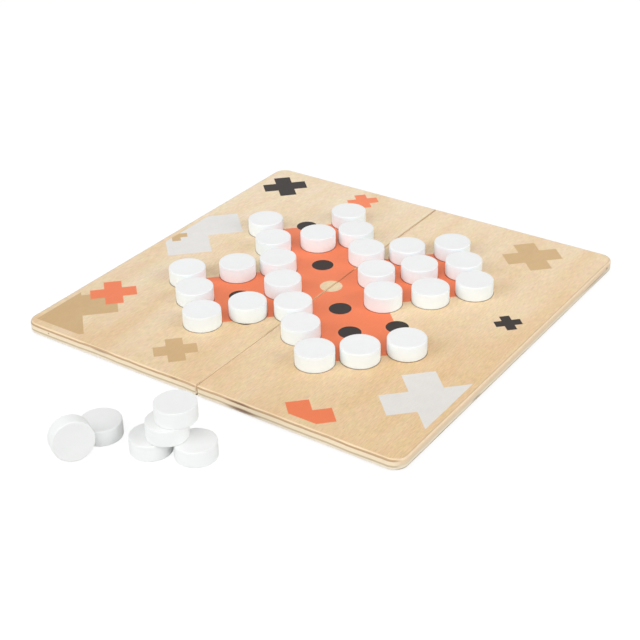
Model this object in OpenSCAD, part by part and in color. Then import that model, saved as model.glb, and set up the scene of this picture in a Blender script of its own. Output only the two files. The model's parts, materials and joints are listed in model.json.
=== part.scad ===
// Folding plywood board for a jumping game for one player, with its 32 turned wooden discs.
// The cross of 33 spots stands on its point, turned 45 degrees to the edges of the square board.
// Origin: the middle of the whole set's footprint, on the table that it stands on. X runs across
// the fold, Y along it and Z up. Places in this file are measured from the middle of the board.

/* [Board] */
// Side of the square board, unfolded
board_side = 300; // [296:1:340]
// Thickness of the plywood
board_t = 8; // [7:0.5:12]
// Radius of the four outer corners
corner_r = 9.5; // [4:0.5:14]
// Radius of the rounded top and bottom edges
edge_r = 1.5; // [0.5:0.1:2.5]
// Gap between the two halves at the fold
fold_gap = 0.5; // [0.3:0.1:1]
// Radius of the upright corners at the ends of the fold
fold_corner_r = 1.6; // [0.5:0.1:6]
// Width of the small bevel along the fold
fold_bevel = 0.35; // [0.2:0.05:0.8]
// Distance of the board's middle behind the middle of the whole set
board_y = 51; // [50.5:0.1:51.5]

/* [Printing] */
// Distance between neighbouring spots
pitch = 32.5; // [30:0.1:33]
// Diameter of a black spot
spot_d = 15.7; // [8:0.1:20]
// Diameter of the bare spot in the middle
bare_spot_d = 16; // [8:0.1:20]
// How far the spots are printed off the middle of their squares, along X and Y
spot_shift = [-0.3, 1]; // [-2:0.1:2]
// Depth that the ink sinks into the wood
ink_t = 0.1; // [0.05:0.01:0.2]
// Distance of the printing's middle behind the middle of the board
print_y = 1.3; // [-2:0.1:2]
// Mean width of the unprinted rim of the board
print_margin = 5.2; // [3:0.1:10]
// Width of the unprinted strip beside the fold
fold_margin = 0.45; // [0.4:0.05:1]

/* [Discs] */
// Diameter of a disc
disc_d = 26.4; // [20:0.1:26.6]
// Height of a disc
disc_h = 11; // [6:0.5:14]
// Radius of a disc's softened rims
rim_r = 0.7; // [0.2:0.1:2]
// Angle by which the leaning disc stands off upright
lean_angle = 5; // [0:1:12]

/* [Hinges] */
// Distance of each hinge from the middle of the board
hinge_y = 85; // [40:1:110]
// Length of a hinge
hinge_l = 24; // [18:1:36]
// Width of one leaf, measured from the hinge's axis
leaf_w = 9; // [7:0.5:12]
// Thickness of a leaf
leaf_t = 0.7; // [0.5:0.1:1]
// Outer radius of the knuckles
knuckle_r = 1.25; // [1.1:0.05:1.4]
// Radius of the hinge pin
pin_r = 0.6; // [0.4:0.05:0.8]
// Length of a screw
screw_l = 5; // [3.5:0.5:6]

/* [Pads] */
// Height of the felt pads, and so of the board's underside
pad_t = 1.5; // [1.5:0.1:3]
// Diameter of the felt pads
pad_d = 12; // [8:1:20]
// Distance of the pads' centres from the board's edges
pad_inset = 15; // [10:1:25]

/* [Hidden] */
$fn = 96;
half_side = board_side / 2;
board_bottom = pad_t;
board_top = board_bottom + board_t;
print_limit = half_side - print_margin;
fold_edge = fold_gap / 2;
grid_step = pitch / sqrt(2);
disc_r = disc_d / 2;
spare = 1;            // how far a cutting tool reaches past what it cuts
running_gap = 0.05;   // radial clearance of the turning knuckle on its pin
knuckle_gap = 0.15;   // gap on each side of the middle knuckle
notch_gap = 0.25;     // room around the knuckles and at the ends of the hinge
knuckle_l = hinge_l / 3;
screw_x = 5.6;
screw_y = 7.5;
screw_head_r = 1.7;
screw_head_h = 0.9;
screw_shank_r = 0.8;
screw_point_h = 1.2;
screw_slot_w = 0.45;
screw_slot_depth = 0.45;
rim_facets = 32;
arm = 3;              // spots from the middle one to the end of an arm of the cross
letters = "abcdefg";

// Discs on the board: column and row of the spot, counted from the middle one, then how far the
// disc stands off that spot along X and Y. Players put them down by hand, so none stands quite true.
LEFT_DISCS = [
    [-1, -3, 1, 0.5], [1, -3, 1, -0.5], [-1, -2, 1, 1.5], [0, -2, 2, 2.5], [1, -2, -0.5, 0],
    [-3, -1, 0, -0.5], [-2, -1, 2.5, 2], [-1, -1, 0, 0.5], [1, -1, -0.5, 1.5], [-3, 0, -0.5, 3],
    [-1, 0, -1.5, -0.5], [-3, 1, 1, 3.5], [-2, 1, -3, 6.5], [-1, 1, 0, 0.5]];
RIGHT_DISCS = [
    [2, -1, 0, -3], [3, -1, 2, -3.5], [1, 0, 0, 1], [2, 0, -1, 0.5], [3, 0, 0, -1],
    [1, 1, -2, -0.5], [2, 1, 0, -2], [3, 1, -2.5, 0.5], [-1, 2, -2, 2.5], [-1, 3, 1.5, 3.5],
    [0, 3, 0.5, 0], [1, 3, -1.5, 0.5]];
// Captured discs in front of the board, each by the middle of its lower face.
PILE_LEFT = [11.9, -207.2, 0];
PILE_RIGHT = [38.3, -197.4, 0];
PILE_MIDDLE = [21, -202, disc_h];
PILE_TOP = [24.5, -197, 2 * disc_h];
PROP_DISC = [-23.6, -211.8, 0];
// The disc that leans on the rim of the one behind it: where it stands, and its heading.
LEANING = [-22.2, -238.1];
lean_heading = 59;

// Printed plus signs: centre, from the middle of the printing, length from tip to tip, and width of
// the arms.
ORANGE_PLUSES = [[-57, 130, 24, 9], [77, -144.5, 39, 15], [-125, -89, 32.5, 12.5]];
BLACK_PLUSES = [[-126, 120, 34.5, 13], [128.5, 22.5, 18.5, 7]];
TAN_PLUSES = [[99, 117, 41, 16], [-144.5, 3, 17.5, 6.5], [-141.5, -125, 78, 29], [-38.5, -125, 29, 11.5]];
GREY_PLUSES = [[131.5, -85, 61, 22.5], [-147.5, 17, 86.5, 32.5]];

orange = "#f18566";
black = "#454040";
tan = "#d4b589";
grey = "#e6e3df";
birch = "#ebcfa6";
white_paint = "#f4f3f0";
brass = "#c9a24f";
felt = "#4a4744";

function spot_name(disc) = str("disc_", letters[disc[0] + arm], disc[1] + arm + 1);
function spot_xy(u, v) = [(u + v) * grid_step, (u - v) * grid_step];

// What is left of a square corner when a quarter circle is kept.
module corner_cutter(r) {
    difference() {
        square(r + spare);
        circle(r);
    }
}

// Outline of one half. side is -1 for the left half and 1 for the right one.
module half_outline(side) {
    width = half_side - fold_edge;
    translate([side < 0 ? -half_side : fold_edge, 0])
    difference() {
        translate([0, -half_side]) square([width, board_side]);
        for (end = [-1, 1]) {
            translate([side < 0 ? corner_r : width - corner_r, end * (half_side - corner_r)])
                mirror([side < 0 ? 1 : 0, 0]) mirror([0, end < 0 ? 1 : 0]) corner_cutter(corner_r);
            translate([side < 0 ? width - fold_corner_r : fold_corner_r, end * (half_side - fold_corner_r)])
                mirror([side < 0 ? 0 : 1, 0]) mirror([0, end < 0 ? 1 : 0]) corner_cutter(fold_corner_r);
        }
    }
}

// Takes off the sharp top and bottom edges of one half along its three outer sides.
module edge_cutters(side) {
    straight = half_side - corner_r;
    for (top = [0, 1]) {
        z = top == 1 ? board_top - edge_r : board_bottom + edge_r;
        for (end = [-1, 1]) {
            translate([0, end * (half_side - edge_r), z])
                mirror([side < 0 ? 1 : 0, 0, 0]) mirror([0, end < 0 ? 1 : 0, 0]) mirror([0, 0, 1 - top])
                rotate([90, 0, 90]) linear_extrude(straight) corner_cutter(edge_r);
            translate([side * straight, end * straight, z])
                mirror([side < 0 ? 1 : 0, 0, 0]) mirror([0, end < 0 ? 1 : 0, 0]) mirror([0, 0, 1 - top])
                rotate_extrude(angle = 90) translate([corner_r - edge_r, 0]) corner_cutter(edge_r);
        }
        translate([side * (half_side - edge_r), 0, z])
            mirror([side < 0 ? 1 : 0, 0, 0]) mirror([0, 0, 1 - top])
            translate([0, straight, 0]) rotate([90, 0, 0]) linear_extrude(2 * straight) corner_cutter(edge_r);
    }
}

module fold_bevels(side) {
    for (z = [board_bottom, board_top])
        translate([side * fold_edge, 0, z]) rotate([0, 45, 0])
            cube([fold_bevel * sqrt(2), board_side + spare, fold_bevel * sqrt(2)], center = true);
}

// Room in the underside for a hinge: a shallow rebate for the leaf and a round one for the knuckles.
module hinge_rebate(side, y) {
    length = hinge_l + 2 * notch_gap;
    translate([side < 0 ? -leaf_w - notch_gap : 0, y - length / 2, board_bottom - spare])
        cube([leaf_w + notch_gap, length, leaf_t + spare]);
    translate([0, y + length / 2, board_bottom]) rotate([90, 0, 0])
        cylinder(r = knuckle_r + notch_gap, h = length);
}

module plus_sign(mark) {
    intersection() {
        translate([mark[0], mark[1]]) rotate(45) {
            square([mark[2], mark[3]], center = true);
            square([mark[3], mark[2]], center = true);
        }
        square(2 * print_limit, center = true);
    }
}

module pluses(marks) {
    for (mark = marks) plus_sign(mark);
}

module play_cross() {
    rotate(45) {
        square([2 * pitch, 2 * arm * pitch], center = true);
        square([2 * arm * pitch, 2 * pitch], center = true);
    }
}

module black_spots() {
    translate(spot_shift)
    for (u = [-arm:arm], v = [-arm:arm])
        if ((abs(u) < 2 || abs(v) < 2) && !(u == 0 && v == 0))
            translate(spot_xy(u, v)) circle(d = spot_d);
}

module half_plane(side) {
    edge = fold_edge + fold_margin;
    translate([side < 0 ? -half_side - edge : edge, -half_side]) square([half_side, board_side]);
}

// What falls on one half of an area given from the middle of the printing.
module on_half(side) {
    intersection() {
        half_plane(side);
        translate([0, print_y]) children();
    }
}

module black_area(side) {
    on_half(side) {
        black_spots();
        pluses(BLACK_PLUSES);
    }
}

module orange_area(side) {
    on_half(side)
    difference() {
        union() {
            play_cross();
            pluses(ORANGE_PLUSES);
        }
        black_spots();
        translate(spot_shift) circle(d = bare_spot_d);
    }
}

module tan_area(side) {
    on_half(side)
    difference() {
        pluses(TAN_PLUSES);
        pluses(ORANGE_PLUSES);
    }
}

module grey_area(side) {
    on_half(side)
    difference() {
        pluses(GREY_PLUSES);
        pluses(TAN_PLUSES);
    }
}

module ink_layer(depth = ink_t) {
    translate([0, 0, board_top - ink_t]) linear_extrude(depth) children();
}

module orange_print(side) { color(orange) ink_layer() orange_area(side); }
module black_print(side) { color(black) ink_layer() black_area(side); }
module tan_print(side) { color(tan) ink_layer() tan_area(side); }
module grey_print(side) { color(grey) ink_layer() grey_area(side); }

// Turned body of a countersunk screw, head down, from the underside up into the wood.
module screw_body() {
    rotate_extrude()
        polygon([[0, 0], [screw_head_r, 0], [screw_shank_r, screw_head_h],
            [screw_shank_r, screw_l - screw_point_h], [0, screw_l]]);
}

module at_screws(side, y) {
    for (end = [-1, 1]) translate([side * screw_x, y + end * screw_y, board_bottom]) children();
}

module panel(side) {
    color(birch)
    difference() {
        translate([0, 0, board_bottom]) linear_extrude(board_t) half_outline(side);
        edge_cutters(side);
        fold_bevels(side);
        for (end = [-1, 1]) {
            hinge_rebate(side, end * hinge_y);
            at_screws(side, end * hinge_y) screw_body();
        }
        ink_layer(ink_t + spare) {
            black_area(side);
            orange_area(side);
            tan_area(side);
            grey_area(side);
        }
    }
}

// One stretch of a leaf along Y, given by its cross-section.
module along_y(y, length) {
    translate([0, y + length / 2, board_bottom]) rotate([90, 0, 0]) linear_extrude(length) children();
}

module leaf_plate(side, from_x) {
    translate([side < 0 ? -leaf_w : from_x, 0]) square([leaf_w - from_x, leaf_t]);
}

module knuckle_section(side, bore_r) {
    difference() {
        union() {
            circle(knuckle_r);
            leaf_plate(side, 0);
        }
        circle(bore_r);
    }
}

// The left leaf holds the pin in its two outer knuckles.
module leaf_left(y) {
    color(brass)
    difference() {
        union() {
            for (end = [-1, 1]) along_y(y + end * knuckle_l, knuckle_l) knuckle_section(-1, pin_r);
            along_y(y, hinge_l) leaf_plate(-1, knuckle_r + notch_gap);
        }
        at_screws(-1, y) screw_body();
    }
}

// The right leaf turns on the pin with its middle knuckle.
module leaf_right(y) {
    color(brass)
    difference() {
        union() {
            along_y(y, knuckle_l - 2 * knuckle_gap) knuckle_section(1, pin_r + running_gap);
            along_y(y, hinge_l) leaf_plate(1, knuckle_r + notch_gap);
        }
        at_screws(1, y) screw_body();
    }
}

module hinge_pin(y) {
    color(brass)
    translate([0, y + hinge_l / 2, board_bottom]) rotate([90, 0, 0]) cylinder(r = pin_r, h = hinge_l);
}

module hinge_screws(side) {
    color(brass)
    for (end = [-1, 1])
        at_screws(side, end * hinge_y)
            difference() {
                screw_body();
                cube([screw_slot_w, 2 * screw_head_r + spare, 2 * screw_slot_depth], center = true);
            }
}

module felt_pads(side) {
    color(felt)
    for (end = [-1, 1])
        translate([side * (half_side - pad_inset), end * (half_side - pad_inset), 0])
            cylinder(d = pad_d, h = pad_t);
}

// A disc standing on its lower face, with softened rims.
module disc() {
    color(white_paint)
    rotate_extrude() {
        square([disc_r - rim_r, disc_h]);
        translate([0, rim_r]) square([disc_r, disc_h - 2 * rim_r]);
        for (z = [rim_r, disc_h - rim_r]) translate([disc_r - rim_r, z]) circle(rim_r, $fn = rim_facets);
    }
}

module board_disc(place) {
    xy = spot_xy(place[0], place[1]);
    translate([xy[0] + place[2], print_y + xy[1] + place[3], board_top]) disc();
}

// Stands on its rounded rim, with its back to the prop disc and leaning on it.
module leaning_disc() {
    middle_z = (disc_r - rim_r) * cos(lean_angle) + (disc_h / 2 - rim_r) * sin(lean_angle) + rim_r;
    translate([LEANING[0], LEANING[1], middle_z]) rotate([0, 0, lean_heading])
        rotate([-90 - lean_angle, 0, 0]) translate([0, 0, -disc_h / 2]) disc();
}

translate([0, board_y, 0]) {
    for (side = [-1, 1]) {
        word = side < 0 ? "left" : "right";
        panel(side);
        orange_print(side);
        black_print(side);
        tan_print(side);
        grey_print(side);
        hinge_screws(side);
        felt_pads(side);
    }
    for (end = [-1, 1]) {
        word = end < 0 ? "near" : "far";
        leaf_left(end * hinge_y);
        leaf_right(end * hinge_y);
        hinge_pin(end * hinge_y);
    }
    for (place = concat(LEFT_DISCS, RIGHT_DISCS))
        board_disc(place);
    translate(PILE_LEFT) disc();  // disc_pile_left
    translate(PILE_RIGHT) disc();  // disc_pile_right
    translate(PILE_MIDDLE) disc();  // disc_pile_middle
    translate(PILE_TOP) disc();  // disc_pile_top
    translate(PROP_DISC) disc();  // disc_prop
    leaning_disc();  // disc_leaning
}
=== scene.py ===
# %% [markdown]
# # A folding solitaire board and its wooden discs
# The real object is a square of birch plywood, cut in two halves that fold on small brass hinges.
# A cross of spots and a scatter of plus signs are printed on it, and 32 white wooden discs are
# played on the spots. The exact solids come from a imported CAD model. This lesson dresses them: it
# sets up the camera, the floor and the light, turns the soft-rimmed discs and felt pads as new
# meshes, and gives each surface a finish made of shader nodes.
#
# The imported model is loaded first, because every place below is read off it. Everything is in
# metres, and the solids themselves are never moved.

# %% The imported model
import json
import math

import bpy
import numpy as np
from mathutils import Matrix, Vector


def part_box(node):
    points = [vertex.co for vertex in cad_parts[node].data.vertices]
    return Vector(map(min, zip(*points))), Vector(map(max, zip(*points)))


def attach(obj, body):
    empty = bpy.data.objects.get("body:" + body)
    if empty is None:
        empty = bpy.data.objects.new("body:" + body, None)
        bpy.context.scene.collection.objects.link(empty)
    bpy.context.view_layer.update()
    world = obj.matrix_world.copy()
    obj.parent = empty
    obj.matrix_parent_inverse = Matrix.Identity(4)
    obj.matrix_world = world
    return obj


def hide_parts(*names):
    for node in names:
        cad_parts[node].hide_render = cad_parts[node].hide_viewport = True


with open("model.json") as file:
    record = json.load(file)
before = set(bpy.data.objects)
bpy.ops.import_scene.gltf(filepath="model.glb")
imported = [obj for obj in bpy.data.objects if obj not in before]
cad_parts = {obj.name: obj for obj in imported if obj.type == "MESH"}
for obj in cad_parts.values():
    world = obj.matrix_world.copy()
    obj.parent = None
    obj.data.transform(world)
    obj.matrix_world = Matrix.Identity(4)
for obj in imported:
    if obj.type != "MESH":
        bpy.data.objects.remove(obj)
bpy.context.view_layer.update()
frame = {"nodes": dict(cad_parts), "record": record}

# %% [markdown]
# ## Measures
# One board is the ruler for the whole scene. Its middle is taken on the printed face, half way
# between the outer edges of the two panels, and all finishes on the wood count from there.

# %% The board's size and middle
MM = 0.001
left_low, left_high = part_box("panel_left")
_, right_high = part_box("panel_right")
board_side = right_high.x - left_low.x
board_thickness = left_high.z - left_low.z
board_middle = np.array([(left_low.x + right_high.x) / 2, (left_low.y + left_high.y) / 2, left_high.z])
print("board", round(board_side / MM, 1), "mm square,", round(board_thickness / MM, 1), "mm thick")

# %% [markdown]
# ## Camera
# The photograph looks down on one corner of the board, from a little left of it. Such a camera is
# easiest to set as an orbit: a heading round the object, a height above the horizon, a distance,
# and a slight roll. Turning those into three axes by hand is surer than a tracking constraint,
# because the roll stays exact.

# %% A camera in orbit round the board
CAMERA_HEADING = math.radians(35.09)
CAMERA_HEIGHT = math.radians(30.44)
CAMERA_ROLL = math.radians(-1.3)
CAMERA_DISTANCE = 3.029 * board_side
CAMERA_LENS = 75.46
AIM_RIGHT, AIM_BACK = 0.0658 * board_side, -0.1364 * board_side


def camera_axes(heading, height, roll):
    """Right, up and backward axes of a camera.

    Forward is the heading tilted down by the height; right is level and square to it; up is their
    cross product; the roll then turns right and up about the line of sight.
    """
    forward = np.array([-math.sin(heading) * math.cos(height),
                        math.cos(heading) * math.cos(height), -math.sin(height)])
    level = np.array([math.cos(heading), math.sin(heading), 0.0])
    upright = np.cross(level, forward)
    right = math.cos(roll) * level + math.sin(roll) * upright
    up = math.cos(roll) * upright - math.sin(roll) * level
    return right, up, -forward


camera = bpy.data.objects.new("camera", bpy.data.cameras.new("camera"))
bpy.context.scene.collection.objects.link(camera)
bpy.context.scene.camera = camera
camera.data.lens = CAMERA_LENS
right, up, backward = camera_axes(CAMERA_HEADING, CAMERA_HEIGHT, CAMERA_ROLL)
camera_place = board_middle + np.array([AIM_RIGHT, AIM_BACK, 0.0]) + CAMERA_DISTANCE * backward
pose = np.eye(4)
pose[:3, :] = np.column_stack([right, up, backward, camera_place])
camera.matrix_world = pose.T.tolist()
bpy.context.view_layer.update()
print("camera at", [round(c, 3) for c in camera.matrix_world.translation])

# %% [markdown]
# ## Colours
# A colour picked from a screen is stored with a curve, and shader nodes want plain amounts of
# light. One small function takes the curve off, so that each colour below can be written in the
# usual 0 to 255 steps.

# %% From screen steps to light


def paint(red, green, blue):
    """Linear colour of screen steps: c / 12.92 below 0.04045, else ((c + 0.055) / 1.055) ^ 2.4."""
    steps = np.array([red, green, blue]) / 255
    light = np.where(steps <= 0.04045, steps / 12.92, ((steps + 0.055) / 1.055) ** 2.4)
    return (*light.tolist(), 1.0)


print("white paint in linear light:", [round(c, 3) for c in paint(244, 244, 243)[:3]])

# %% [markdown]
# ## Node shorthand
# A finish is a small network of nodes. Written out in full, each node takes several lines, so a
# few helpers with plain names keep the networks readable: feed a socket, do one sum, fade between
# two numbers, draw soft clouds, and mix two colours.

# %% Sums and fades


def feed(tree, socket, value):
    """Links another node's output to a socket, or writes a plain number or colour into it."""
    if isinstance(value, bpy.types.NodeSocket):
        tree.links.new(value, socket)
    else:
        socket.default_value = value


def calc(tree, sum_kind, first, second=0.0):
    """One sum on one or two numbers."""
    node = tree.nodes.new("ShaderNodeMath")
    node.operation = sum_kind
    feed(tree, node.inputs[0], first)
    feed(tree, node.inputs[1], second)
    return node.outputs[0]


def fade(tree, value, start, end, low=0.0, high=1.0):
    """Runs smoothly from low to high while the value goes from start to end, and stays there."""
    node = tree.nodes.new("ShaderNodeMapRange")
    node.interpolation_type = "SMOOTHSTEP"
    for name, number in (("Value", value), ("From Min", start), ("From Max", end),
                         ("To Min", low), ("To Max", high)):
        feed(tree, node.inputs[name], number)
    return node.outputs["Result"]


print("a fade runs from", fade.__defaults__[0], "to", fade.__defaults__[1], "by itself")

# %% Soft clouds


def place_calc(tree, sum_kind, place, by):
    """One sum on a place, axis by axis."""
    node = tree.nodes.new("ShaderNodeVectorMath")
    node.operation = sum_kind
    feed(tree, node.inputs[0], place)
    feed(tree, node.inputs[1], by)
    return node.outputs["Vector"]


def clouds(tree, place, size, detail=2.0, roughness=0.5):
    """Soft noise from 0 to 1, about 0.5 on average, whose clouds have that size along X, Y, Z.

    The place is divided by the size, so that noise one step wide comes out as wide as the size.
    """
    node = tree.nodes.new("ShaderNodeTexNoise")
    node.inputs["Scale"].default_value = 1.0
    node.inputs["Detail"].default_value = detail
    node.inputs["Roughness"].default_value = roughness
    feed(tree, node.inputs["Vector"], place_calc(tree, "DIVIDE", place, size))
    return node.outputs["Fac"]


print("clouds have a detail of", clouds.__defaults__[0], "by themselves")

# %% Mixed, banded and shaded colours


def mix(tree, share, first, second, how="MIX"):
    """The first colour with that share of the second mixed, or multiplied, into it."""
    node = tree.nodes.new("ShaderNodeMix")
    node.data_type = "RGBA"
    node.blend_type = how
    sockets = {s.name: s for s in node.inputs if s.enabled}
    feed(tree, sockets["Factor"], share)
    feed(tree, sockets["A"], first)
    feed(tree, sockets["B"], second)
    return next(s for s in node.outputs if s.enabled)


def bands(tree, value, stops):
    """A row of colours: each stop gives a place from 0 to 1 and the colour there."""
    node = tree.nodes.new("ShaderNodeValToRGB")
    ramp = node.color_ramp
    while len(ramp.elements) < len(stops):
        ramp.elements.new(0.5)
    for element, (position, colour) in zip(ramp.elements, stops):
        element.position = position
        element.color = colour
    feed(tree, node.inputs["Fac"], value)
    return node.outputs["Color"]


def shade(tree, colour, value, low, high):
    """Darkens or lightens a colour: times low where the value is 0, times high where it is 1."""
    node = tree.nodes.new("ShaderNodeVectorMath")
    node.operation = "SCALE"
    feed(tree, node.inputs[0], colour)
    feed(tree, node.inputs["Scale"], fade(tree, value, 0.0, 1.0, low, high))
    return node.outputs["Vector"]


print("three helpers for colours:", mix.__name__, bands.__name__, shade.__name__)

# %% [markdown]
# ## Places on the board
# Wood grain, plies and flaws sit at real places in the board. Object coordinates give each point
# of a panel in metres from the origin, and a Mapping node turns them into millimetres from the
# middle of the printed face. The pattern then stays in the wood when the board folds.

# %% Millimetres from the middle of the board


def board_place(tree):
    """Object coordinates, less the board's middle, in millimetres."""
    coordinates = tree.nodes.new("ShaderNodeTexCoord")
    mapping = tree.nodes.new("ShaderNodeMapping")
    mapping.inputs["Scale"].default_value = (1 / MM,) * 3
    mapping.inputs["Location"].default_value = (-board_middle / MM).tolist()
    tree.links.new(coordinates.outputs["Object"], mapping.inputs["Vector"])
    return mapping.outputs["Vector"]


def split(tree, place):
    """The X, Y and Z of a place."""
    node = tree.nodes.new("ShaderNodeSeparateXYZ")
    tree.links.new(place, node.inputs["Vector"])
    return node.outputs[0], node.outputs[1], node.outputs[2]


def join(tree, x, y, z):
    """A place from its X, Y and Z."""
    node = tree.nodes.new("ShaderNodeCombineXYZ")
    for socket, value in zip(node.inputs, (x, y, z)):
        feed(tree, socket, value)
    return node.outputs["Vector"]


SHEET_SHIFT = 400.0
DRIFT_SPAN = 600.0


def sheet_place(tree, place):
    """The place with X pushed outwards by SHEET_SHIFT, so that each half has clouds of its own."""
    x, y, z = split(tree, place)
    outwards = calc(tree, "MULTIPLY", calc(tree, "SIGN", x), SHEET_SHIFT)
    return join(tree, calc(tree, "ADD", x, outwards), y, z)


def far_left_share(tree, place):
    """0 at the near right corner of the board, 1 at the far left one: 0.5 + (y - x) / DRIFT_SPAN."""
    x, y, _ = split(tree, place)
    return calc(tree, "ADD", calc(tree, "DIVIDE", calc(tree, "SUBTRACT", y, x), DRIFT_SPAN), 0.5)


print("the board's middle is at", (board_middle / MM).round(2), "mm")

# %% [markdown]
# ## Birch veneer
# The face is rotary-cut birch: very pale, with soft blotches of cream and honey along the grain, a
# faint mottling between pink and yellow, a cross ripple, short fine dashes and a few brown flecks.
# One noise texture can't hold such different sizes, so each has its own. All but the ripple are
# stretched along Y, where the grain runs. Across the whole board the colour also drifts, from a warm
# honey at the near right corner to a pale pinkish cream at the far left one. Part of this is the
# veneer's own change of tone, and part is a painted sheen, where the paler end stands in for grazing
# reflection. The face is also painted a little lighter from near to far, as painted light.

# %% The face of the plywood
CREAM = paint(238, 215, 180)
BIRCH = paint(235, 207, 168)
HONEY = paint(230, 196, 151)
FLECK = paint(196, 152, 104)
PINK_TINT = (1.01, 0.985, 1.0, 1.0)
YELLOW_TINT = (0.99, 1.01, 0.955, 1.0)
# Sizes of the patterns along X, Y and Z, in millimetres, as in every finish below.
BLOTCH_SIZE = (24.0, 110.0, 60.0)
MOTTLE_SIZE = (7.0, 14.0, 20.0)
RIPPLE_SIZE = (12.0, 5.0, 30.0)
DASH_SIZE = (0.9, 6.0, 4.0)
FLECK_SIZE = (0.9, 5.0, 2.0)


def fibre_height(tree, sheet):
    """Short fine dashes along the grain, from 0 to 1."""
    return clouds(tree, sheet, DASH_SIZE, detail=3.0, roughness=0.65)


def veneer(tree, sheet):
    """Blotches, mottling, a cross ripple, dashes and flecks, one over the other."""
    blotches = clouds(tree, sheet, BLOTCH_SIZE, detail=4.0, roughness=0.6)
    colour = bands(tree, blotches, [(0.30, CREAM), (0.50, BIRCH), (0.70, HONEY)])
    mottle = fade(tree, clouds(tree, sheet, MOTTLE_SIZE), 0.35, 0.65)
    colour = mix(tree, 1.0, colour, mix(tree, mottle, PINK_TINT, YELLOW_TINT), "MULTIPLY")
    ripple = clouds(tree, sheet, RIPPLE_SIZE, detail=4.0, roughness=0.7)
    colour = shade(tree, colour, ripple, 0.975, 1.025)
    colour = shade(tree, colour, fibre_height(tree, sheet), 0.80, 1.20)
    fleck = clouds(tree, sheet, FLECK_SIZE, detail=1.0)
    return mix(tree, fade(tree, fleck, 0.68, 0.80, 0.0, 0.5), colour, FLECK)


print("veneer from", [round(c, 2) for c in CREAM[:3]], "to", [round(c, 2) for c in HONEY[:3]])

# %% The drift and painted sheen across the board
WARM_DRIFT = (0.94, 0.88, 0.78, 1.0)
PALE_SHEEN_DRIFT = (1.01, 1.11, 1.30, 1.0)
NEAR_SHADE_LEVEL = 0.965
FAR_LIGHT_LEVEL = 1.035


def share_along(tree, place):
    """0 at the near edge of the board and 1 at the far one: 0.5 + y / the side."""
    _, y, _ = split(tree, place)
    return calc(tree, "ADD", calc(tree, "DIVIDE", y, board_side / MM), 0.5)


def drift_and_sheen(tree, place, colour, strength=1.0):
    """The colour times the drift in hue, part of it painted sheen, by that strength, and times a
    painted light level from near to far.
    """
    # Painted sheen and light: the pale far-left end stands partly for grazing reflection, and the level
    # paints the face lighter towards the far edge.
    drift = mix(tree, far_left_share(tree, place), WARM_DRIFT, PALE_SHEEN_DRIFT)
    colour = mix(tree, strength, colour, drift, "MULTIPLY")
    return shade(tree, colour, share_along(tree, place), NEAR_SHADE_LEVEL, FAR_LIGHT_LEVEL)


print("from near to far the face gets", round(100 * (FAR_LIGHT_LEVEL / NEAR_SHADE_LEVEL - 1), 1), "% lighter")

# %% [markdown]
# ## Plies on the edge
# Sawn edges show the plies as stripes, at the same depth all round. A stripe is a function of the
# depth below the face, so it bends round the corners and the rounded rims by itself. Where the saw
# crossed the grain, on the front and back edges, the two inner plies are dark; on the left and
# right edges they are faint. Two rows of colours are mixed by which edge a point is nearer to.

# %% How deep and how near the edge a point is
CORNER_RADIUS = 9.5
CORNER_BLEND = 4.0
WALL_END, WALL_CLEAR = 0.6, 1.2
HALF_SIDE = board_side / 2 / MM
THICKNESS = board_thickness / MM


def rim_distance(tree, place):
    """Distance in from the rounded outline of the board.

    With ax and ay as the steps past the corner circle's middle, the distance is the corner radius
    less the length of their positive parts, less the larger of the two where both are negative.
    """
    x, y, _ = split(tree, place)
    past_x, past_y = (calc(tree, "SUBTRACT", calc(tree, "ABSOLUTE", value), HALF_SIDE - CORNER_RADIUS)
                      for value in (x, y))
    wide, deep = (calc(tree, "MAXIMUM", value, 0.0) for value in (past_x, past_y))
    squares = calc(tree, "ADD", calc(tree, "MULTIPLY", wide, wide), calc(tree, "MULTIPLY", deep, deep))
    inside = calc(tree, "MINIMUM", calc(tree, "MAXIMUM", past_x, past_y), 0.0)
    outside = calc(tree, "ADD", calc(tree, "SQRT", squares), inside)
    return calc(tree, "SUBTRACT", CORNER_RADIUS, outside)


def sawn_across(tree, place):
    """1 on the front and back edges, 0 on the left and right ones and on the walls of the fold."""
    x, y, _ = split(tree, place)
    out_x, out_y = (calc(tree, "ABSOLUTE", value) for value in (x, y))
    nearer = fade(tree, calc(tree, "SUBTRACT", out_y, out_x), -CORNER_BLEND, CORNER_BLEND)
    return calc(tree, "MULTIPLY", nearer, fade(tree, out_x, WALL_END, WALL_CLEAR))


print("edges at", round(HALF_SIDE, 1), "mm,", round(THICKNESS, 1), "mm deep")

# %% The stripes of the sawn edges
CREAM_EDGE_HIGHLIGHT = paint(242, 217, 181)
CORE_CREAM = paint(248, 229, 199)
DARK_PLY = paint(190, 158, 120)
GREY_PLY = paint(203, 184, 151)
BACK_PLY = paint(245, 234, 213)
SIDE_HIGHLIGHT_TOP = paint(239, 213, 178)
SIDE_TAN = paint(234, 209, 175)
SIDE_DARK = paint(229, 209, 178)
SIDE_BACK = paint(238, 225, 202)
LOWER_SHADE_STRIPE = paint(158, 146, 124)
# Each layer: its start and end in millimetres below the face, and its colour. The saw crossed the grain
# on the front and back edges, and ran along it on the left and right ones. The top layer of each row,
# on the rounded rim, is partly a painted highlight. The lowest layer on the left and right edges is a
# dark line of painted shade along the foot.
CROSS_PLIES = [(0.0, 0.25, CREAM_EDGE_HIGHLIGHT), (0.6, 1.4, DARK_PLY), (2.0, 4.2, CORE_CREAM),
               (4.8, 5.4, GREY_PLY), (6.0, 8.0, BACK_PLY)]
SIDE_PLIES = [(0.0, 1.2, SIDE_HIGHLIGHT_TOP), (1.7, 3.0, SIDE_TAN), (3.7, 4.4, SIDE_DARK),
              (5.1, 6.3, SIDE_BACK), (6.9, 8.0, LOWER_SHADE_STRIPE)]


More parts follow.
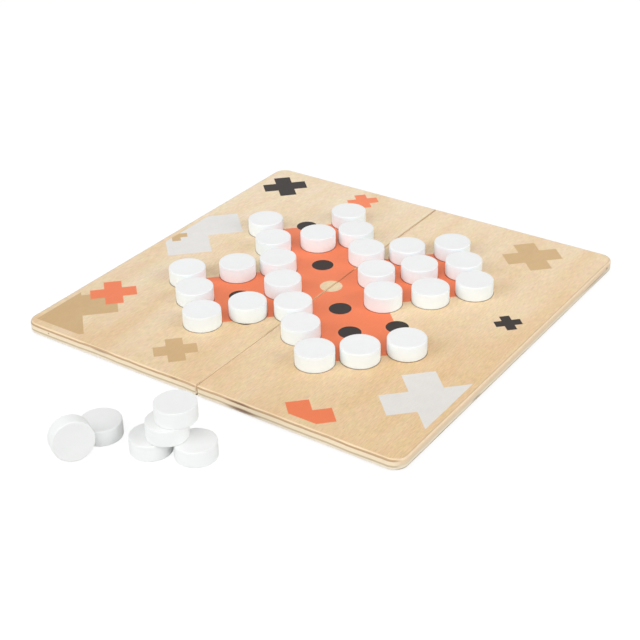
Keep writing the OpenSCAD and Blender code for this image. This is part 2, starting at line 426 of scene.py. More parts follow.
def plies(tree, depth, layers):
    """Stripes by depth, 0 at the face and 1 at the back, that run into each other between layers."""
    return bands(tree, depth, [(level / THICKNESS, colour)
                               for start, end, colour in layers for level in (start, end)])


print(len(CROSS_PLIES), "layers of colour through", round(THICKNESS, 1), "mm of plywood")

# %% [markdown]
# ## The sawn fold
# The two halves were sawn apart after the face was lacquered. The small bevels along the fold are brown
# in the first centimetre at the near end, then clean and pale, and a dark brown at the far end. This is
# painted shade of the gap between the halves, which looks heavier with distance. A row of colours along
# Y draws it, since the tone depends on nothing else. Where the cut crosses the orange field, an orange
# tint multiplies those colours and darkens them, as painted shade of the gap there. The outer rims
# differ too: the near one is pale and the right one tan, as a painted highlight, and the other two are
# greyish, as painted shade.

# %% The cut along the fold and its painted shade
CLEAN_CUT = paint(230, 203, 166)
WARM_CUT = paint(206, 172, 130)
BROWN_SHADED_CUT = paint(176, 138, 98)
DARK_SHADED_CUT = paint(132, 94, 62)
BEVEL_END = 0.65
BEVEL_BLEND = 0.15


def cut_share(tree, place):
    """1 on the bevels along the fold, by distance from its middle, and 0 on the face past them."""
    x, _, _ = split(tree, place)
    return fade(tree, calc(tree, "ABSOLUTE", x), BEVEL_END + BEVEL_BLEND, BEVEL_END)


def cut_tone_and_shade(tree, place):
    """Colour of the bevels along the fold with painted shade of the gap, by the share of the way from
    the near to the far end.
    """
    return bands(tree, share_along(tree, place), [
        (0.0, BROWN_SHADED_CUT), (0.03, WARM_CUT), (0.07, CLEAN_CUT), (0.22, CLEAN_CUT),
        (0.34, WARM_CUT), (0.72, WARM_CUT), (0.88, BROWN_SHADED_CUT), (1.0, DARK_SHADED_CUT)])


print("the darkest of the cut is", [round(c, 2) for c in DARK_SHADED_CUT[:3]], "in linear light")

# %% Orange tint and painted shade in the cut
ORANGE_TINT_AND_SHADE = (0.95, 0.46, 0.34, 1.0)
NEAR_STRENGTH = 0.35
# Ends of the tinted stretches along Y, in millimetres: where the tint is gone, and where it is full.
# The near stretch ends and the far one starts at the bare spot.
NEAR_STRETCH = ((-27.0, -26.0), (-5.0, -6.5))
FAR_STRETCH = ((9.5, 11.0), (33.0, 32.0))


def on_stretch(tree, value, stretch):
    """1 on a stretch and 0 beyond it, fading at both ends."""
    first, last = (fade(tree, value, gone, full) for gone, full in stretch)
    return calc(tree, "MULTIPLY", first, last)


def tinted_and_shaded_cut(tree, place, colour):
    """The colour, tinted orange and darkened as painted shade where the cut crosses the orange field on
    each side of the bare spot.
    """
    _, y, _ = split(tree, place)
    near_part = calc(tree, "MULTIPLY", on_stretch(tree, y, NEAR_STRETCH), NEAR_STRENGTH)
    either = calc(tree, "MAXIMUM", near_part, on_stretch(tree, y, FAR_STRETCH))
    share = calc(tree, "MULTIPLY", either, cut_share(tree, place))
    return mix(tree, share, colour, mix(tree, 1.0, colour, ORANGE_TINT_AND_SHADE, "MULTIPLY"))


# These stretches carry the orange tint and the painted shade of the gap.
stained = sum(last[0] - first[0] for first, last in (NEAR_STRETCH, FAR_STRETCH))
print("ink has run into", stained, "mm of the cut")

# %% The outer rims, with painted highlight and shade
GREY_SHADE_RIM = paint(184, 180, 171)
TAN_HIGHLIGHT_RIM = paint(194, 172, 145)
RIM_BLEND = 8.0


def rim_highlight_and_shade(tree, place):
    """Painted highlight, pale on the near rim and tan on the right one, where x is more than y, and
    painted shade, greyish, elsewhere.
    """
    x, y, _ = split(tree, place)
    towards = mix(tree, sawn_across(tree, place), TAN_HIGHLIGHT_RIM, CREAM_EDGE_HIGHLIGHT)
    return mix(tree, fade(tree, calc(tree, "SUBTRACT", x, y), -RIM_BLEND, RIM_BLEND), GREY_SHADE_RIM, towards)


print("the far rim is", [round(c, 2) for c in GREY_SHADE_RIM[:3]], "in linear light")

# %% [markdown]
# ## Flaws in the edge
# Sawn plywood is never clean. This board's edge has a brown knot through both inner plies, some
# smaller thickenings of the dark line, and pin-sized dark spots. Each is a soft blob: a distance
# from its middle, measured with a stretched ruler, and faded out.

# %% Knots and spots
# Each flaw: its edge, as the way out to it along X and Y, then its place along that edge, depth,
# half length and half height in millimetres, and its strength.
NEAR, RIGHT, FAR, LEFT = (0, -1), (1, 0), (0, 1), (-1, 0)
EDGE_FLAWS = [
    (NEAR, 34.0, 1.1, 12.0, 1.0, 0.75), (NEAR, 36.0, 5.6, 14.0, 1.7, 0.85),
    (NEAR, -81.0, 1.6, 9.0, 0.9, 0.45), (NEAR, -18.0, 1.0, 4.0, 0.7, 0.45),
    (NEAR, -128.0, 3.2, 0.9, 0.7, 0.7), (RIGHT, -59.0, 5.6, 7.0, 0.8, 0.6),
    (RIGHT, 116.0, 4.7, 26.0, 0.6, 0.75), (RIGHT, 136.0, 3.4, 1.6, 1.2, 0.8),
    (FAR, -97.0, 1.2, 7.0, 0.8, 0.5), (FAR, 62.0, 5.2, 11.0, 1.0, 0.6),
    (LEFT, 74.0, 4.8, 9.0, 0.7, 0.5), (LEFT, -36.0, 1.4, 4.0, 0.7, 0.5)]
KNOT = paint(120, 84, 62)
BLOB_END, BLOB_FULL = 1.2, 0.2


def distance_from(tree, place, middle, size):
    """Length of the step from a middle to a place, with each axis measured in its own size."""
    step = place_calc(tree, "SUBTRACT", place, middle)
    node = tree.nodes.new("ShaderNodeVectorMath")
    node.operation = "LENGTH"
    feed(tree, node.inputs[0], place_calc(tree, "DIVIDE", step, size))
    return node.outputs["Value"]


def flaw_share(tree, place):
    """How strongly a point is stained: the strongest of the blobs that it lies in."""
    share = 0.0
    for (out_x, out_y), along, depth, length, height, strength in EDGE_FLAWS:
        x, y = (along, HALF_SIDE * out_y) if out_x == 0 else (HALF_SIDE * out_x, along)
        distance = distance_from(tree, place, (x, y, -depth), (length, length, height))
        blob = fade(tree, distance, BLOB_END, BLOB_FULL, 0.0, strength)
        share = calc(tree, "MAXIMUM", share, blob)
    return share


print(len(EDGE_FLAWS), "flaws in the edges")

# %% [markdown]
# ## Starting a finish
# Every finish starts from the same shader, with its own roughness and shine, and gets a fine relief
# that is only a trick of the shading and adds no faces. Wood and ink also get a painted contact shadow
# where a piece stands on them, darker and thinner than the light alone draws it, so one helper darkens
# a colour where something close by hides a part of the view upwards.

# %% A new shader, its relief and its painted contact shadow
CONTACT_REACH = 1.4 * MM
CONTACT_SHADOW_LEVEL = 0.4


def start_finish(name, roughness, shine=0.25, metallic=0.0):
    """A new material, its node tree and its main shader. The usual shine of plastic would be 0.5."""
    material = bpy.data.materials.new(name)
    material.use_nodes = True
    shader = material.node_tree.nodes["Principled BSDF"]
    shader.inputs["Roughness"].default_value = roughness
    shader.inputs["Specular IOR Level"].default_value = shine
    shader.inputs["Metallic"].default_value = metallic
    return material, material.node_tree, shader


def roughen(tree, shader, height, strength, depth):
    """Bump: the surface seems to rise by up to depth metres where the height is 1."""
    node = tree.nodes.new("ShaderNodeBump")
    node.inputs["Strength"].default_value = strength
    node.inputs["Distance"].default_value = depth
    feed(tree, node.inputs["Height"], height)
    feed(tree, shader.inputs["Normal"], node.outputs["Normal"])


def painted_contact_shadow(tree, colour):
    """Painted contact shadow: the colour, down to the contact level where a piece within reach hides
    half of the view.
    """
    node = tree.nodes.new("ShaderNodeAmbientOcclusion")
    node.samples = 8
    node.inputs["Distance"].default_value = CONTACT_REACH
    return shade(tree, colour, fade(tree, node.outputs["AO"], 0.5, 0.85), CONTACT_SHADOW_LEVEL, 1.0)


print("contact lines reach", round(CONTACT_REACH / MM, 1), "mm")

# %% [markdown]
# ## The plywood finish
# Face and edge meet on the rounded rim. Over the last two millimetres the face fades into the colour
# that each rim has: a painted highlight on the near and right rims, and painted shade on the other two.
# The plies wobble a little in depth, as veneers of natural wood do.

# %% Plywood
WOBBLE_SIZE = (26.0, 26.0, 900.0)
WOBBLE = 0.55
STREAK_SIZE = (5.0, 5.0, 0.35)
RIM_START, RIM_FULL, RIM_STRENGTH = 1.8, 0.8, 0.85
SKIN_DEPTH, PLY_DEPTH = 0.06, 0.3


def buried_share(tree, z):
    """0 on the two faces, down to SKIN_DEPTH, and 1 between them, from PLY_DEPTH on."""
    below = calc(tree, "MULTIPLY", z, -1.0)
    return calc(tree, "MULTIPLY", fade(tree, below, SKIN_DEPTH, PLY_DEPTH),
                fade(tree, below, THICKNESS - SKIN_DEPTH, THICKNESS - PLY_DEPTH))


def plywood_finish():
    """Veneer on the two faces, stained plies between them, and other colours on the rims and cut."""
    material, tree, shader = start_finish("birch_plywood", roughness=0.42, shine=0.4)
    place = board_place(tree)
    sheet = sheet_place(tree, place)
    _, _, z = split(tree, place)
    wobble = fade(tree, clouds(tree, place, WOBBLE_SIZE), 0.0, 1.0, -WOBBLE, WOBBLE)
    depth = calc(tree, "DIVIDE", calc(tree, "SUBTRACT", wobble, z), THICKNESS)
    across = sawn_across(tree, place)
    edge = mix(tree, across, plies(tree, depth, SIDE_PLIES), plies(tree, depth, CROSS_PLIES))
    streaks = clouds(tree, place, STREAK_SIZE, detail=3.0, roughness=0.6)
    edge = mix(tree, flaw_share(tree, place), shade(tree, edge, streaks, 0.93, 1.07), KNOT)
    # The face gets a painted contact shadow where a piece stands on it.
    face = painted_contact_shadow(tree, drift_and_sheen(tree, place, veneer(tree, sheet)))
    # Painted highlight on the near and right rims, painted shade on the other two.
    rim = fade(tree, rim_distance(tree, place), RIM_START, RIM_FULL, 0.0, RIM_STRENGTH)
    face = mix(tree, rim, face, rim_highlight_and_shade(tree, place))
    # The bevels along the fold carry the painted shade of the gap.
    face = mix(tree, cut_share(tree, place), face, cut_tone_and_shade(tree, place))
    wood = tinted_and_shaded_cut(tree, place, mix(tree, buried_share(tree, z), face, edge))
    tree.links.new(wood, shader.inputs["Base Color"])
    roughen(tree, shader, fibre_height(tree, sheet), 0.25, 0.06 * MM)
    return material


plywood = plywood_finish()
print(plywood.name, "has", len(plywood.node_tree.nodes), "nodes")

# %% [markdown]
# ## Printed inks
# The ink is a thin flat film, let into the wood. It is nearly even, yet the fibres below show as faint
# lines, the pale tan and grey let some of the wood's bands through, and the inks share a part of the
# drift in colour, with its painted sheen and painted light. One function makes all four, with those
# shares as its arguments.

# %% Ink films
FILM_CLOUDS = (9.0, 9.0, 9.0)


def ink_finish(name, colour, wood_share, drift=0.5, roughness=0.42):
    """An even colour over fibres, with that share of the veneer and of its drift, painted sheen and
    light, showing through.
    """
    material, tree, shader = start_finish(name, roughness)
    place = board_place(tree)
    sheet = sheet_place(tree, place)
    film = drift_and_sheen(tree, place, mix(tree, wood_share, colour, veneer(tree, sheet)), drift)
    film = shade(tree, film, clouds(tree, place, FILM_CLOUDS, detail=3.0), 0.975, 1.025)
    film = shade(tree, film, fibre_height(tree, sheet), 0.97, 1.03)
    # The ink gets the same painted contact shadow.
    tree.links.new(painted_contact_shadow(tree, film), shader.inputs["Base Color"])
    roughen(tree, shader, fibre_height(tree, sheet), 0.15, 0.04 * MM)
    return material


inks = {
    "orange": ink_finish("orange_ink", paint(242, 127, 82), 0.03, drift=0.7),
    "black": ink_finish("black_ink", paint(30, 24, 24), 0.01, drift=0.0, roughness=0.5),
    "tan": ink_finish("tan_ink", paint(205, 170, 121), 0.12),
    "grey": ink_finish("grey_ink", paint(229, 227, 224), 0.05, drift=0.1),
}
print("inks:", ", ".join(inks))

# %% [markdown]
# ## White paint
# The discs are cut from a turned rod and dipped in matt white paint. Each disc gets two whites: a
# slightly greyer one on the faces, as painted shade, and a brighter, cooler one on the sides, as
# painted light. The coat has a fine orange-peel skin and a few wood pores that show as shallow pits,
# and clouds wider than a disc give each one its own tone without a list of colours. The captured discs
# beside the board get a second copy of the paint, a shade greyer, as painted shade. Each disc's mesh
# will carry the share of face or side at every point under the name face_share.

# %% Paint on the discs
TONE_SIZE = (45.0, 45.0, 45.0)
PATCH_SIZE = (6.0, 6.0, 6.0)
SKIN_SIZE = (0.7, 0.7, 0.7)
PORE_SIZE = (2.4, 0.5, 0.5)


def white_paint_finish(name, shaded_face_colour, lit_side_colour):
    """Matt white: painted shade on the faces, painted light on the sides, slow changes of tone, a fine
    skin and shallow pores.
    """
    material, tree, shader = start_finish(name, roughness=0.6, shine=0.15)
    place = board_place(tree)
    share = tree.nodes.new("ShaderNodeAttribute")
    share.attribute_name = "face_share"
    # Painted shade on the faces and painted light on the sides, split by face_share.
    colour = mix(tree, share.outputs["Fac"], lit_side_colour, shaded_face_colour)
    colour = shade(tree, colour, clouds(tree, place, TONE_SIZE, detail=1.0), 0.98, 1.02)
    colour = shade(tree, colour, clouds(tree, place, PATCH_SIZE, detail=3.0), 0.985, 1.015)
    tree.links.new(colour, shader.inputs["Base Color"])
    skin = clouds(tree, place, SKIN_SIZE)
    pore = fade(tree, clouds(tree, place, PORE_SIZE, detail=1.0), 0.64, 0.72, 0.0, -1.0)
    roughen(tree, shader, calc(tree, "ADD", skin, pore), 0.25, 0.05 * MM)
    return material


# Face white with painted shade, then side white with painted light; the second, greyer copy is painted
# shade for the captured discs.
white_paint = white_paint_finish("white_paint", paint(240, 240, 240), paint(244, 252, 255))
loose_shaded_paint = white_paint_finish("loose_shaded_white_paint", paint(237, 238, 237), paint(245, 247, 246))
print(white_paint.name, "has", len(white_paint.node_tree.nodes), "nodes")

# %% [markdown]
# ## Brass and felt
# The hinges are stamped from brushed brass sheet: metallic, with brush lines along Y that change
# both tone and roughness, and a little brown tarnish. The pads under the corners are pressed wool,
# which is dark, very rough, and flecked with fibres of two tones. Its soft glow at grazing angles
# is what the shader's sheen is for.

# %% Hinge metal
BRUSH_SIZE = (0.12, 6.0, 0.12)
TARNISH_SIZE = (3.0, 3.0, 3.0)
CLEAN_BRASS = paint(214, 180, 108)
TARNISHED_BRASS = paint(158, 118, 62)


def brass_finish():
    """Brushed brass with light tarnish."""
    material, tree, shader = start_finish("brushed_brass", roughness=0.32, shine=0.5, metallic=1.0)
    place = board_place(tree)
    brush = clouds(tree, place, BRUSH_SIZE)
    tarnish = fade(tree, clouds(tree, place, TARNISH_SIZE, detail=4.0), 0.45, 0.75, 0.0, 0.5)
    colour = mix(tree, tarnish, CLEAN_BRASS, TARNISHED_BRASS)
    tree.links.new(shade(tree, colour, brush, 0.9, 1.1), shader.inputs["Base Color"])
    tree.links.new(fade(tree, brush, 0.2, 0.8, 0.25, 0.42), shader.inputs["Roughness"])
    roughen(tree, shader, brush, 0.2, 0.02 * MM)
    return material


brass = brass_finish()
print(brass.name, "has", len(brass.node_tree.nodes), "nodes")

# %% Pad cloth
FIBRES_ALONG_X = (0.9, 0.16, 0.3)
FIBRES_ALONG_Y = (0.16, 0.9, 0.3)
DARK_WOOL = paint(58, 56, 54)
PALE_WOOL = paint(112, 108, 102)


def felt_finish():
    """Pressed wool: two greys in short fibres that lie across each other, and sheen."""
    material, tree, shader = start_finish("wool_felt", roughness=0.95)
    place = board_place(tree)
    fibres, crossed = (clouds(tree, place, size, detail=3.0, roughness=0.7)
                       for size in (FIBRES_ALONG_X, FIBRES_ALONG_Y))
    fuzz = calc(tree, "MAXIMUM", fibres, crossed)
    colour = mix(tree, fade(tree, fuzz, 0.45, 0.75), DARK_WOOL, PALE_WOOL)
    tree.links.new(colour, shader.inputs["Base Color"])
    shader.inputs["Sheen Weight"].default_value = 0.5
    roughen(tree, shader, fuzz, 0.8, 0.2 * MM)
    return material


felt = felt_finish()
print(felt.name, "has", len(felt.node_tree.nodes), "nodes")

# %% [markdown]
# ## Dressing the solids
# Panels, inks, leaves, pins and screws have the right shape already, so they keep their solids and
# only get a finish. The record says which material slot each solid belongs to, so one loop serves
# them all.

# %% Finishes on the CAD solids
slot_of = {part["node"]: part["material_slot"] for part in frame["record"]["subparts"]}
finish_of_slot = {"birch_plywood": plywood, "white_paint": white_paint, "brass": brass, "felt": felt}
finish_of_slot.update({name + "_ink": finish for name, finish in inks.items()})
for node_name, solid in frame["nodes"].items():
    solid.material_slots[0].material = finish_of_slot[slot_of[node_name]]
print(len(slot_of), "solids have a finish")

# %% [markdown]
# ## Turned shapes
# A disc and a pad are both turned: an outline carried once round an axis. The outline is a row of
# points from the middle of the lower face to the middle of the upper one, and numpy turns all of
# them at once. The first and the last point lie on the axis, so they are single vertices that
# close the two faces.

# %% A turned mesh


def turned_points(radii, heights, turns):
    """Vertices of a turned shape in its own axes.

    A point is (radius * cos turn, radius * sin turn, height). radii may have a column for each
    turn, for a shape that isn't quite round. The first and last heights are kept as single poles.
    """
    radii = np.broadcast_to(np.reshape(radii, (len(heights), -1)), (len(heights), len(turns)))
    ring_radii, ring_heights = radii[1:-1], np.asarray(heights)[1:-1, None]
    rings = np.stack([ring_radii * np.cos(turns), ring_radii * np.sin(turns),
                      np.broadcast_to(ring_heights, ring_radii.shape)], axis=-1)
    poles = np.array([[0.0, 0.0, heights[0]], [0.0, 0.0, heights[-1]]])
    return np.vstack([poles[:1], rings.reshape(-1, 3), poles[1:]])


def turned_faces(ring_count, turn_count):
    """Faces of a turned shape: a fan at each pole and four-sided faces between the rings."""
    here = np.arange(turn_count)
    after = np.roll(here, -1)
    first_ring, last_ring = 1, 1 + (ring_count - 1) * turn_count
    top_pole = 1 + ring_count * turn_count
    bottom_fan = np.stack([np.zeros_like(here), first_ring + after, first_ring + here], axis=1)
    top_fan = np.stack([np.full_like(here, top_pole), last_ring + here, last_ring + after], axis=1)
    rows = 1 + turn_count * np.arange(ring_count - 1)[:, None]
    sides = np.stack([rows + here, rows + after, rows + after + turn_count, rows + here + turn_count],
                     axis=-1).reshape(-1, 4)
    return bottom_fan.tolist() + sides.tolist() + top_fan.tolist()


def new_piece(name, points, faces, finish, body, node_name):
    """A smooth mesh that rides on a body in the place of one solid."""
    mesh = bpy.data.meshes.new(name)
    mesh.from_pydata(points.tolist(), [], faces)
    mesh.shade_smooth()
    mesh.materials.append(finish)
    piece = bpy.data.objects.new(name, mesh)
    bpy.context.scene.collection.objects.link(piece)
    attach(piece, body)
    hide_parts(node_name)
    return piece


print("a turned shape of 3 rings and 4 turns has", len(turned_faces(3, 4)), "faces")

# %% [markdown]
# ## Discs
# Each disc is a little different: the rims are sanded by hand to a radius of about half a
# millimetre, the side has a slight belly, the faces dish by a few hundredths, and none is
# perfectly round. These changes are small, but they break up the highlights as on the real ones.
#
# Where a disc stands and how it leans is read off its solid: its middle is the middle of its box,
# and its axis is the direction in which its points spread least.

# %% The outline of a disc
RIM_STEPS = 7
FACE_STEPS = 6
SIDE_STEPS = 5


def disc_outline(radius, height, rim, belly, dish):
    """Radii and heights from the lower face's middle to the upper one's.

    The lower face runs straight out, with its rings at the square root of even steps, and the lower
    rim is a quarter circle. On the side the radius is that of the disc less the belly times the
    square of the distance from half height. The upper half is the lower one turned over. The faces
    sink by the dish times (1 - share of radius ^ 2).
    """
    flat = np.linspace(0.0, 1.0, FACE_STEPS) ** 0.5 * (radius - rim - belly)
    around = np.linspace(0.0, math.pi / 2, RIM_STEPS)
    corner_r = radius - rim - belly + rim * np.sin(around)
    corner_z = rim * (1 - np.cos(around))
    up_side = np.linspace(rim, height / 2, SIDE_STEPS)[1:]
    half_way = (height / 2 - up_side) / (height / 2 - rim)
    half_r = np.concatenate([flat[:-1], corner_r, radius - belly * half_way ** 2])
    sunk = dish * (1 - (flat[:-1] / radius) ** 2)
    half_z = np.concatenate([sunk, corner_z, up_side])
    return (np.concatenate([half_r, half_r[-2::-1]]),
            np.concatenate([half_z, height - half_z[-2::-1]]))


sample_r, _ = disc_outline(13.2, 11.0, 0.7, 0.05, 0.05)
print("a disc's outline has", len(sample_r), "points, out to", sample_r.max(), "mm")

# %% Where each disc stands


def solid_points(node_name):
    """The vertices of a solid as one array, with each corner once."""
    mesh = frame["nodes"][node_name].data
    flat = np.zeros(3 * len(mesh.vertices), np.float32)
    mesh.vertices.foreach_get("co", flat)
    return np.unique(flat.reshape(-1, 3).astype(float).round(7), axis=0)


def disc_stand(node_name):
    """Middle, axes, radius and height of a disc's solid.

    The last axis is the direction of least spread, from the singular value decomposition of the
    points about their middle, turned upwards, and the other two are square to it. The radius and
    height are the reach across and along it.
    """
    points = solid_points(node_name)
    middle = (points.max(axis=0) + points.min(axis=0)) / 2
    _, _, directions = np.linalg.svd(points - middle, full_matrices=False)
    axis = directions[2] * (1.0 if directions[2][2] > 0 else -1.0)
    across = np.cross(axis, [0.0, 1.0, 0.0])
    across /= np.linalg.norm(across)
    axes = np.column_stack([across, np.cross(axis, across), axis])
    local = (points - middle) @ axes
    return middle, axes, np.hypot(local[:, 0], local[:, 1]).max(), 2 * np.abs(local[:, 2]).max()


_, lean_axes, lean_radius, lean_height = disc_stand("disc_leaning")
print("the leaning disc is", round(2 * lean_radius / MM, 2), "by", round(lean_height / MM, 2), "mm and",
      round(math.degrees(math.acos(lean_axes[2, 2])), 1), "degrees off level")

# %% Turning all the discs
body_of_node = {node: body for body, nodes in frame["record"]["behaviour"]["bodies"].items()
                for node in nodes}
disc_nodes = sorted(name for name in frame["nodes"] if slot_of[name] == "white_paint")
DISC_TURNS = 112
turns = np.linspace(0.0, 2 * math.pi, DISC_TURNS, endpoint=False)
CAPTURED = ["disc_pile_left", "disc_pile_right", "disc_pile_middle", "disc_pile_top",
            "disc_prop", "disc_leaning"]
# From what to what each disc's measures are drawn, in millimetres.
RIM_RANGE = (0.45, 0.7)
BELLY_AND_DISH_RANGE = (0.02, 0.1)
WAVE_RANGE = (0.0, 0.06)
workshop = np.random.default_rng(33)


def wave_in_radius(count, depth, start):
    """Change of radius round the rim: depth * (cos(count * turn + start) - 1) / 2."""
    return depth * (np.cos(count * turns + start) - 1) / 2


def painted_disc(node_name):
    """One disc: its outline, out of round by two waves and by three, set on its solid's axes.

    face_share is 1 within the rims of the two faces and 0 on the side, by height from the middle:
    (|height| - half the height + rim) / rim, kept between 0 and 1.
    """
    middle, axes, radius, height = disc_stand(node_name)
    rim = workshop.uniform(*RIM_RANGE) * MM
    belly, dish = workshop.uniform(*BELLY_AND_DISH_RANGE, 2) * MM
    depths = workshop.uniform(*WAVE_RANGE, 2) * MM
    starts = workshop.uniform(0.0, 2 * math.pi, 2)
    radii, heights = disc_outline(radius, height, rim, belly, dish)
    wave = sum(wave_in_radius(*values) for values in zip((2, 3), depths, starts))
    points = turned_points(radii[:, None] * (1 + wave / radius), heights - height / 2, turns)
    # The captured discs take the greyer copy of the paint, painted shade.
    finish = loose_shaded_paint if node_name in CAPTURED else white_paint
    faces = turned_faces(len(radii) - 2, DISC_TURNS)
    piece = new_piece("painted_" + node_name, points @ axes.T + middle, faces, finish,
                      body_of_node[node_name], node_name)
    face_share = np.clip((np.abs(points[:, 2]) - height / 2 + rim) / rim, 0.0, 1.0)
    values = piece.data.attributes.new("face_share", "FLOAT", "POINT")
    values.data.foreach_set("value", face_share.astype(np.float32))
    return piece


painted_discs = [painted_disc(name) for name in disc_nodes]
print(len(painted_discs), "discs of", len(painted_discs[0].data.polygons), "faces")

# %% [markdown]
# ## Felt pads
# Two pads under each half keep the hinges off the table. Die-cut felt has a ragged, slightly
# bulging rim, so a rounded outline is turned with random waves in its radius. The tops stay flat,
# where they are glued to the wood.

# %% Pads under the corners
PAD_TURNS = 96
PAD_RINGS = 26
SQUARED = 0.25
FEWEST_WAVES, MOST_WAVES = 5, 23
WAVE_DEPTH = 0.03
pad_table = np.random.default_rng(12)


def felt_pad_points(middle, radius, height):
    """Vertices of one pad.

    Radius and height follow a rounded slab: cos and sin of an angle, each raised to the power
    SQUARED, which makes a circle nearly square. Waves of FEWEST_WAVES to MOST_WAVES cycles round
    the rim, each up to WAVE_DEPTH millimetres deep, pull the radius in.
    """
    angle = np.linspace(-math.pi / 2, math.pi / 2, PAD_RINGS)
    slab_r = radius * np.abs(np.cos(angle)) ** SQUARED
    slab_z = height / 2 * (1 + np.sign(np.sin(angle)) * np.abs(np.sin(angle)) ** SQUARED)
    around = np.linspace(0.0, 2 * math.pi, PAD_TURNS, endpoint=False)
    cycles = np.arange(FEWEST_WAVES, MOST_WAVES + 1)[:, None]
    waves = np.cos(cycles * around + pad_table.uniform(0.0, 2 * math.pi, cycles.shape))
    ragged = (waves * pad_table.uniform(0.0, WAVE_DEPTH, cycles.shape)).sum(axis=0) * MM
    radii = slab_r[:, None] * (1 + (ragged - ragged.max()) / radius)
    return turned_points(radii, slab_z, around) + middle


def felt_pad_pair(node_name):
    """The two pads of one half as one piece, each where its solid is."""
    low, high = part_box(node_name)
    height = high.z - low.z
    radius = (high.x - low.x) / 2
    middles = [np.array([low.x + radius, y, low.z]) for y in (low.y + radius, high.y - radius)]
    one_pad = turned_faces(PAD_RINGS - 2, PAD_TURNS)
    points = [felt_pad_points(middle, radius, height) for middle in middles]
    second_pad = [[corner + len(points[0]) for corner in face] for face in one_pad]
    return new_piece("ragged_" + node_name, np.vstack(points), one_pad + second_pad, felt,
                     body_of_node[node_name], node_name)


felt_pads = [felt_pad_pair(name) for name in ("felt_pads_left", "felt_pads_right")]
print(len(felt_pads), "pairs of pads,", len(felt_pads[0].data.polygons), "faces each")

# %% [markdown]
# ## Floor
# The set stands on a plain white ground with hardly a shadow. For light, the floor is solid and
# pale: it bounces light onto the sides and keeps it out of the fold from below. For the camera it
# is a faint film, mostly clear, with a quarter share of a purer white that takes the soft contact
# shadows, and a little glow that makes up for the light it lost. So the ground is as white as the
# backdrop, and the half that folds down below the table can still be seen.

# %% A pale floor that keeps the shadows
FLOOR_REACH = 3.0
FLOOR_SHARE = 0.25
FLOOR_GLOW = 0.3
FLOOR_WHITE = 0.95
FLOOR_BOUNCE = 0.7
FLOOR_DROP = 0.05 * MM


def floor_finish():
    """White for light, and for the camera a clear film with a share of white and a little glow."""
    material = bpy.data.materials.new("pale_floor")
    material.use_nodes = True
    tree = material.node_tree
    tree.nodes.clear()
    output, blend, total, clear, white, glow, rays = (
        tree.nodes.new("ShaderNode" + kind)
        for kind in ("OutputMaterial", "MixShader", "AddShader", "BsdfTransparent", "BsdfDiffuse",
                     "Emission", "LightPath"))
    seen = rays.outputs["Is Camera Ray"]
    tree.links.new(fade(tree, seen, 0.0, 1.0, FLOOR_BOUNCE, FLOOR_WHITE), white.inputs["Color"])
    tree.links.new(calc(tree, "MULTIPLY", seen, FLOOR_GLOW), glow.inputs["Strength"])
    tree.links.new(white.outputs[0], total.inputs[0])
    tree.links.new(glow.outputs[0], total.inputs[1])
    tree.links.new(fade(tree, seen, 0.0, 1.0, 1.0, FLOOR_SHARE), blend.inputs[0])
    tree.links.new(clear.outputs[0], blend.inputs[1])
    tree.links.new(total.outputs[0], blend.inputs[2])
    tree.links.new(blend.outputs[0], output.inputs["Surface"])
    return material


floor_mesh = bpy.data.meshes.new("floor")
corners = FLOOR_REACH * np.array([[-1, -1, 0], [1, -1, 0], [1, 1, 0], [-1, 1, 0]]) - [0, 0, FLOOR_DROP]
floor_mesh.from_pydata(corners.tolist(), [], [[0, 1, 2, 3]])
floor_mesh.materials.append(floor_finish())
floor = bpy.data.objects.new("floor", floor_mesh)
bpy.context.scene.collection.objects.link(floor)
print("floor", 2 * FLOOR_REACH, "m wide")

# %% [markdown]
# ## Light
# The photograph is lit softly from the camera's side: the discs' sides are a touch brighter than
# their tops, nearly even all round, and hardly a shadow can be seen. So nearly a third of the light
# is an even white world, and three large soft boxes stand far off: one behind the camera, and a
# lower one on each hand. A fourth, small one hangs over the far edge, because the picture gets a
# little lighter towards it. On a level face their shares add up to about 1, and the camera sees the
# world as pure white, so a colour renders about as it is written.

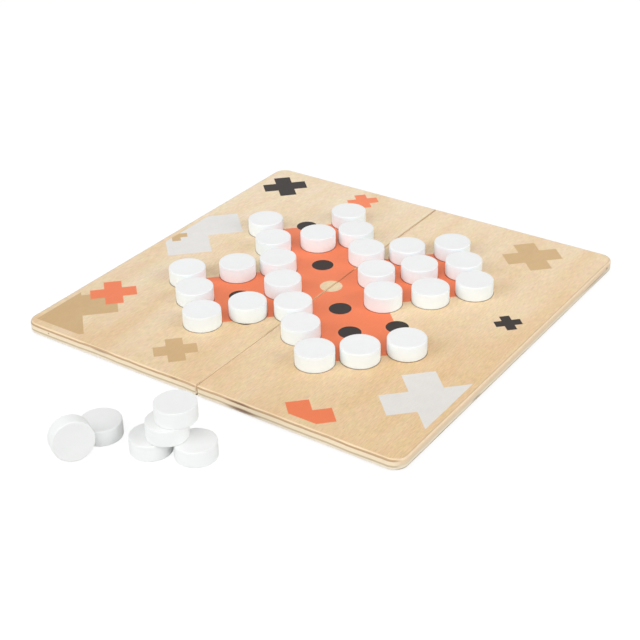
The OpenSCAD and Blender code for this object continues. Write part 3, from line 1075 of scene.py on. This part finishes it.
# %% An even white world
WORLD_LIGHT = 0.30
world = bpy.data.worlds.new("studio")
bpy.context.scene.world = world
world.use_nodes = True
sky = world.node_tree
background = sky.nodes["Background"]
rays = sky.nodes.new("ShaderNodeLightPath")
looks = calc(sky, "MAXIMUM", rays.outputs["Is Camera Ray"],
             calc(sky, "MAXIMUM", rays.outputs["Is Glossy Ray"], rays.outputs["Is Transmission Ray"]))
background.inputs["Color"].default_value = (1.0, 1.0, 1.0, 1.0)
sky.links.new(fade(sky, looks, 0.0, 1.0, WORLD_LIGHT, 1.0), background.inputs["Strength"])
print("the world gives", WORLD_LIGHT, "of full light and is seen as pure white")

# %% Four soft boxes


def soft_box(name, share, heading, height, distance, size, aim):
    """A square box in orbit round a point, that gives a face turned to it that share of full light.

    Power is share * pi ^ 2 * distance ^ 2, since a white world of strength 1 gives full light.
    """
    box = bpy.data.objects.new(name, bpy.data.lights.new(name, "AREA"))
    bpy.context.scene.collection.objects.link(box)
    box.data.shape = "SQUARE"
    box.data.size = size
    box.data.energy = share * math.pi ** 2 * distance ** 2
    box_right, box_up, box_back = camera_axes(math.radians(heading), math.radians(height), 0.0)
    box_pose = np.eye(4)
    box_pose[:3, :] = np.column_stack([box_right, box_up, box_back, aim + distance * box_back])
    box.matrix_world = box_pose.T.tolist()
    return box


far_edge = board_middle + np.array([-0.15, 0.5, 0.0]) * board_side
# Each box: share of full light, heading and height in degrees, distance and size in metres, and aim.
SOFT_BOXES = {
    "middle_box": (0.34, 30.0, 45.0, 4.0, 2.6, board_middle),
    "left_box": (0.40, -30.0, 30.0, 4.0, 2.6, board_middle),
    "right_box": (0.40, 95.0, 30.0, 4.0, 2.6, board_middle),
    "far_box": (0.18, 0.0, 75.0, 0.5, 0.5, far_edge),
}
boxes = [soft_box(name, *values) for name, values in SOFT_BOXES.items()]
print("boxes of", ", ".join(str(round(box.data.energy, 1)) for box in boxes), "W")

# %% [markdown]
# ## Finishing
# The colours should leave Blender as they are written, so the view transform is the plain one.

# %% Colours and the end
bpy.context.scene.view_settings.view_transform = "Standard"
